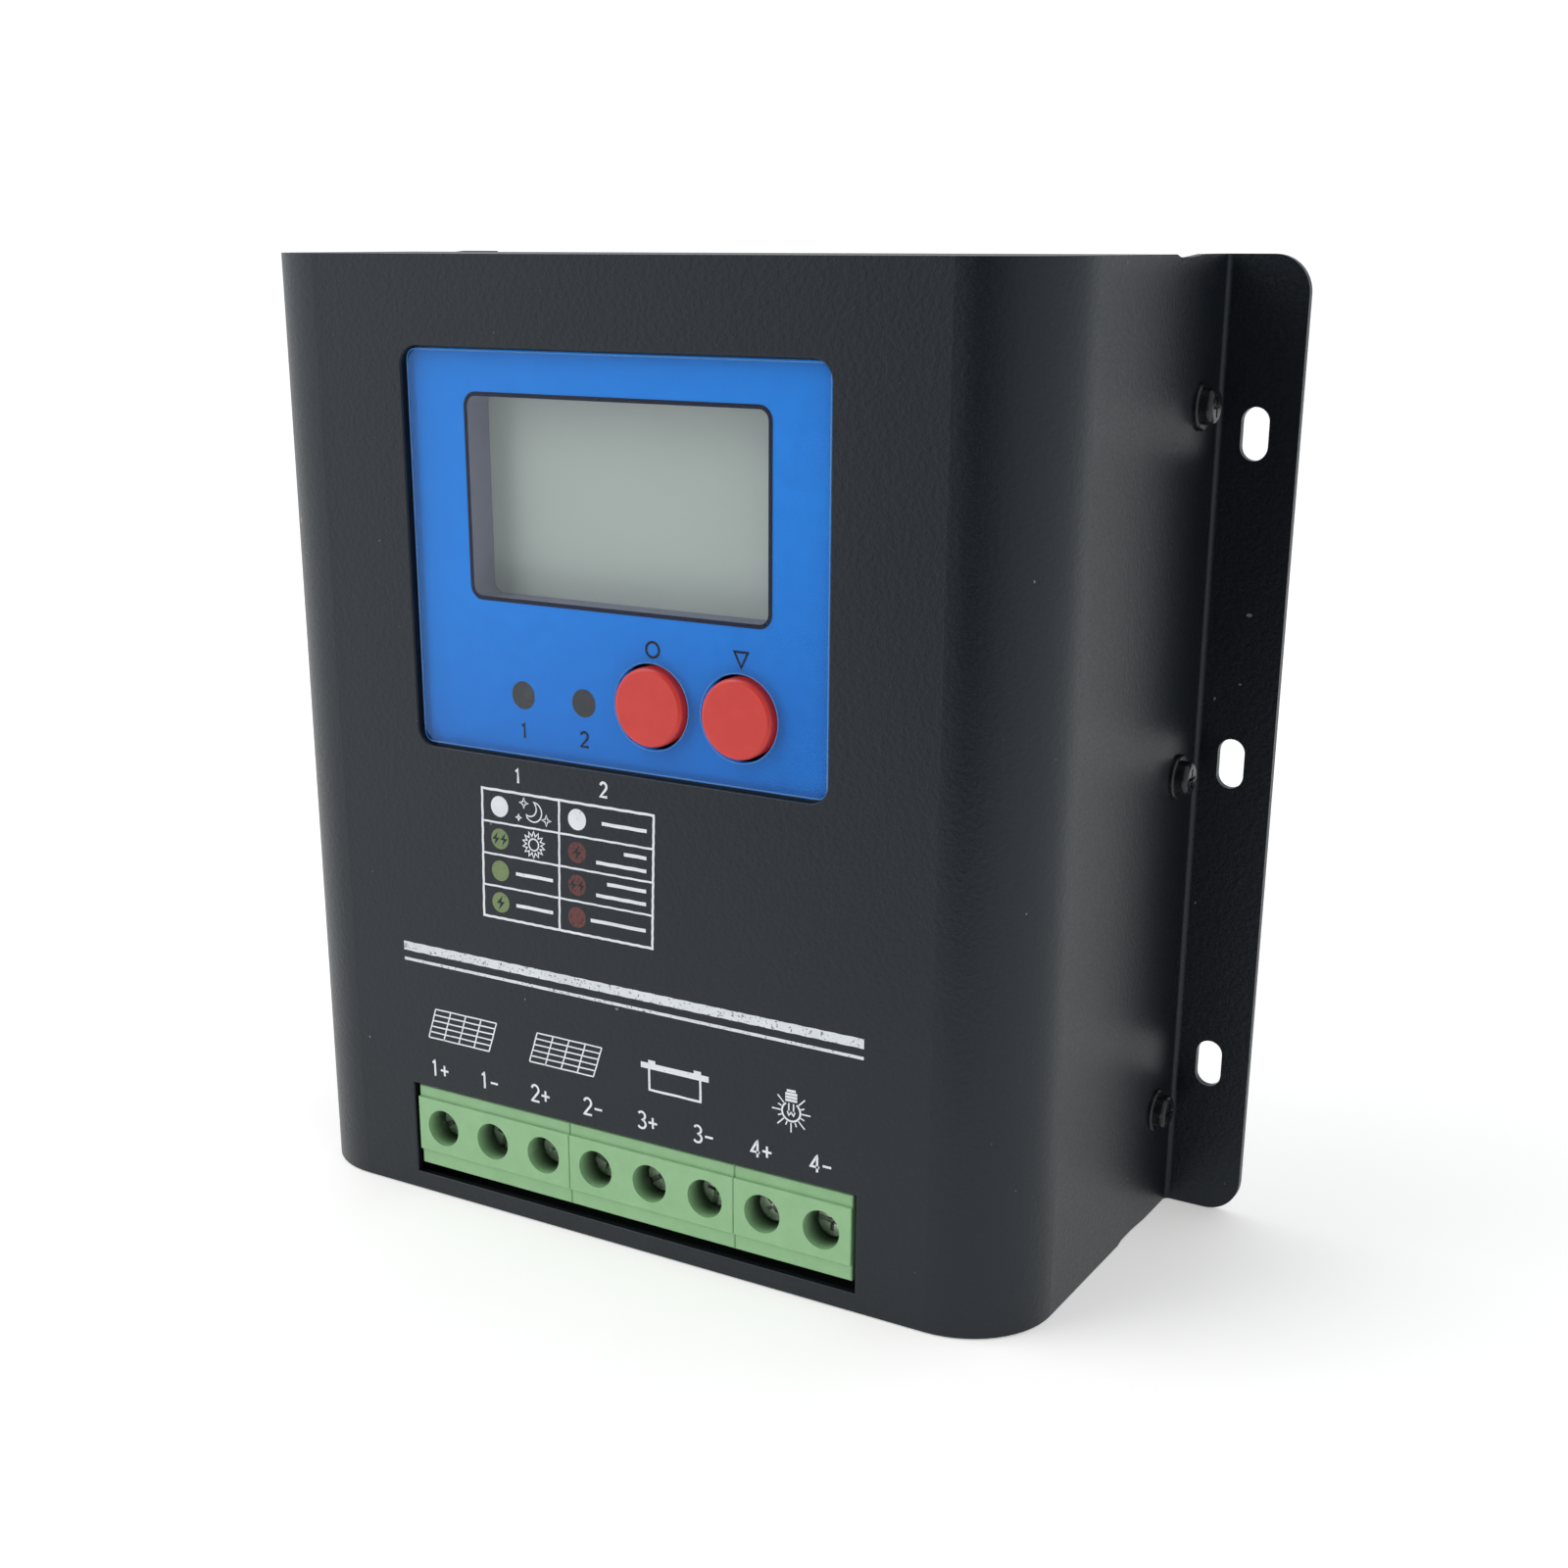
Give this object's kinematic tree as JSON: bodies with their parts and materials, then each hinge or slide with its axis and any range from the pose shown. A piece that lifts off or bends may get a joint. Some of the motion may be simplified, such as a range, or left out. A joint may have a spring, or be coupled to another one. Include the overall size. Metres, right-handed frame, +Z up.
{
  "type": "charge controller",
  "caption": "Wall-mounted solar charge controller: bent black steel cover with slotted flanges, blue display panel with two push buttons, and a row of screw terminals.",
  "frame": {"origin": "under the middle of the whole object, on the plane of its bottom edges", "axes": "+Z up, the front with display and terminals faces -Y, the wall plane is the highest Y, +X to the right seen from the front"},
  "size_m": [0.1572, 0.0622, 0.1485],
  "materials": {
    "powder_coat": "satin black powder coat with a fine orange-peel texture",
    "black_zinc": "black zinc screws",
    "aluminium": "plain extruded aluminium",
    "zinc_steel": "zinc-plated steel",
    "acrylic": "clear polished acrylic",
    "blue_print": "blue print on the back of the clear panel",
    "black_plastic": "moulded black plastic",
    "grey_foam": "grey foam gasket",
    "display_glass": "reflective display glass, switched off",
    "white_plastic": "white light guide frame",
    "circuit_board": "green solder mask",
    "brass": "plain brass",
    "black_epoxy": "moulded epoxy",
    "silicone": "grey silicone sheet",
    "capacitor_sleeve": "dark shrink sleeve",
    "fuse_plastic": "translucent green fuse body",
    "resistance_wire": "bare resistance wire",
    "clear_lamp": "clear lamp body",
    "red_lamp": "dark red lamp body",
    "red_plastic": "smooth red caps",
    "green_plastic": "moulded green terminal plastic"
  },
  "bodies": {
    "case": {"blade_fuses": "fuse_plastic", "board_screws": "zinc_steel", "board_standoffs": "brass", "bottom_end_plate": "powder_coat", "capacitors": "capacitor_sleeve", "charge_lamp": "clear_lamp", "clamp_screws": "zinc_steel", "control_chips": "black_epoxy", "cover": "powder_coat", "cover_screws": "black_zinc", "display_board": "circuit_board", "display_holder": "black_plastic", "display_screws": "zinc_steel", "down_switch_body": "black_plastic", "end_plate_screws": "zinc_steel", "fault_lamp": "red_lamp", "front_panel": "acrylic", "fuse_sockets": "black_plastic", "heat_sink": "aluminium", "insulating_pad": "silicone", "lcd_backlight": "white_plastic", "lcd_gasket": "grey_foam", "lcd_glass": "display_glass", "link_header": "black_plastic", "link_socket": "black_plastic", "main_board": "circuit_board", "panel_print": "blue_print", "power_transistors": "black_epoxy", "set_switch_body": "black_plastic", "shunt_wires": "resistance_wire", "switch_domes": "zinc_steel", "terminal_contacts": "brass", "terminal_housing_left": "green_plastic", "terminal_housing_middle": "green_plastic", "terminal_housing_right": "green_plastic", "top_end_plate": "powder_coat", "transistor_clamp": "zinc_steel"},
    "set_button": {"set_button_cap": "red_plastic", "set_switch_plunger": "black_plastic"},
    "down_button": {"down_button_cap": "red_plastic", "down_switch_plunger": "black_plastic"},
    "terminal_screw_1_body": {"terminal_screw_1": "zinc_steel"},
    "clamp_cage_1_body": {"clamp_cage_1": "brass"},
    "terminal_screw_2_body": {"terminal_screw_2": "zinc_steel"},
    "clamp_cage_2_body": {"clamp_cage_2": "brass"},
    "terminal_screw_3_body": {"terminal_screw_3": "zinc_steel"},
    "clamp_cage_3_body": {"clamp_cage_3": "brass"},
    "terminal_screw_4_body": {"terminal_screw_4": "zinc_steel"},
    "clamp_cage_4_body": {"clamp_cage_4": "brass"},
    "terminal_screw_5_body": {"terminal_screw_5": "zinc_steel"},
    "clamp_cage_5_body": {"clamp_cage_5": "brass"},
    "terminal_screw_6_body": {"terminal_screw_6": "zinc_steel"},
    "clamp_cage_6_body": {"clamp_cage_6": "brass"},
    "terminal_screw_7_body": {"terminal_screw_7": "zinc_steel"},
    "clamp_cage_7_body": {"clamp_cage_7": "brass"},
    "terminal_screw_8_body": {"terminal_screw_8": "zinc_steel"},
    "clamp_cage_8_body": {"clamp_cage_8": "brass"}
  },
  "joints": [
    {"name": "set_button_press", "type": "slide", "parent": "case", "child": "set_button", "axis": [0, 1, 0], "range_m": [0, 0.0003], "stiffness_N_per_m": 5000, "springref_m": -0.0001},
    {"name": "down_button_press", "type": "slide", "parent": "case", "child": "down_button", "axis": [0, 1, 0], "range_m": [0, 0.0003], "stiffness_N_per_m": 5000, "springref_m": -0.0001},
    {"name": "clamp_cage_1_rise", "type": "slide", "parent": "case", "child": "clamp_cage_1_body", "axis": [0, -1, 0], "range_m": [0, 0.004]},
    {"name": "terminal_screw_1_turn", "type": "hinge", "parent": "case", "child": "terminal_screw_1_body", "pos_m": [-0.03587, -0.02395, 0.0118], "axis": [0, 1, 0], "range_deg": [0, 2058]},
    {"name": "clamp_cage_2_rise", "type": "slide", "parent": "case", "child": "clamp_cage_2_body", "axis": [0, -1, 0], "range_m": [0, 0.004]},
    {"name": "terminal_screw_2_turn", "type": "hinge", "parent": "case", "child": "terminal_screw_2_body", "pos_m": [-0.02571, -0.02395, 0.0118], "axis": [0, 1, 0], "range_deg": [0, 2058]},
    {"name": "clamp_cage_3_rise", "type": "slide", "parent": "case", "child": "clamp_cage_3_body", "axis": [0, -1, 0], "range_m": [0, 0.004]},
    {"name": "terminal_screw_3_turn", "type": "hinge", "parent": "case", "child": "terminal_screw_3_body", "pos_m": [-0.01555, -0.02395, 0.0118], "axis": [0, 1, 0], "range_deg": [0, 2058]},
    {"name": "clamp_cage_4_rise", "type": "slide", "parent": "case", "child": "clamp_cage_4_body", "axis": [0, -1, 0], "range_m": [0, 0.004]},
    {"name": "terminal_screw_4_turn", "type": "hinge", "parent": "case", "child": "terminal_screw_4_body", "pos_m": [-0.00539, -0.02395, 0.0118], "axis": [0, 1, 0], "range_deg": [0, 2058]},
    {"name": "clamp_cage_5_rise", "type": "slide", "parent": "case", "child": "clamp_cage_5_body", "axis": [0, -1, 0], "range_m": [0, 0.004]},
    {"name": "terminal_screw_5_turn", "type": "hinge", "parent": "case", "child": "terminal_screw_5_body", "pos_m": [0.00477, -0.02395, 0.0118], "axis": [0, 1, 0], "range_deg": [0, 2058]},
    {"name": "clamp_cage_6_rise", "type": "slide", "parent": "case", "child": "clamp_cage_6_body", "axis": [0, -1, 0], "range_m": [0, 0.004]},
    {"name": "terminal_screw_6_turn", "type": "hinge", "parent": "case", "child": "terminal_screw_6_body", "pos_m": [0.01493, -0.02395, 0.0118], "axis": [0, 1, 0], "range_deg": [0, 2058]},
    {"name": "clamp_cage_7_rise", "type": "slide", "parent": "case", "child": "clamp_cage_7_body", "axis": [0, -1, 0], "range_m": [0, 0.004]},
    {"name": "terminal_screw_7_turn", "type": "hinge", "parent": "case", "child": "terminal_screw_7_body", "pos_m": [0.02509, -0.02395, 0.0118], "axis": [0, 1, 0], "range_deg": [0, 2058]},
    {"name": "clamp_cage_8_rise", "type": "slide", "parent": "case", "child": "clamp_cage_8_body", "axis": [0, -1, 0], "range_m": [0, 0.004]},
    {"name": "terminal_screw_8_turn", "type": "hinge", "parent": "case", "child": "terminal_screw_8_body", "pos_m": [0.03525, -0.02395, 0.0118], "axis": [0, 1, 0], "range_deg": [0, 2058]}
  ],
  "couplings": [
    {"joint": "terminal_screw_1_turn", "follows": "clamp_cage_1_rise", "rad_per_m": 8976},
    {"joint": "terminal_screw_2_turn", "follows": "clamp_cage_2_rise", "rad_per_m": 8976},
    {"joint": "terminal_screw_3_turn", "follows": "clamp_cage_3_rise", "rad_per_m": 8976},
    {"joint": "terminal_screw_4_turn", "follows": "clamp_cage_4_rise", "rad_per_m": 8976},
    {"joint": "terminal_screw_5_turn", "follows": "clamp_cage_5_rise", "rad_per_m": 8976},
    {"joint": "terminal_screw_6_turn", "follows": "clamp_cage_6_rise", "rad_per_m": 8976},
    {"joint": "terminal_screw_7_turn", "follows": "clamp_cage_7_rise", "rad_per_m": 8976},
    {"joint": "terminal_screw_8_turn", "follows": "clamp_cage_8_rise", "rad_per_m": 8976}
  ]
}
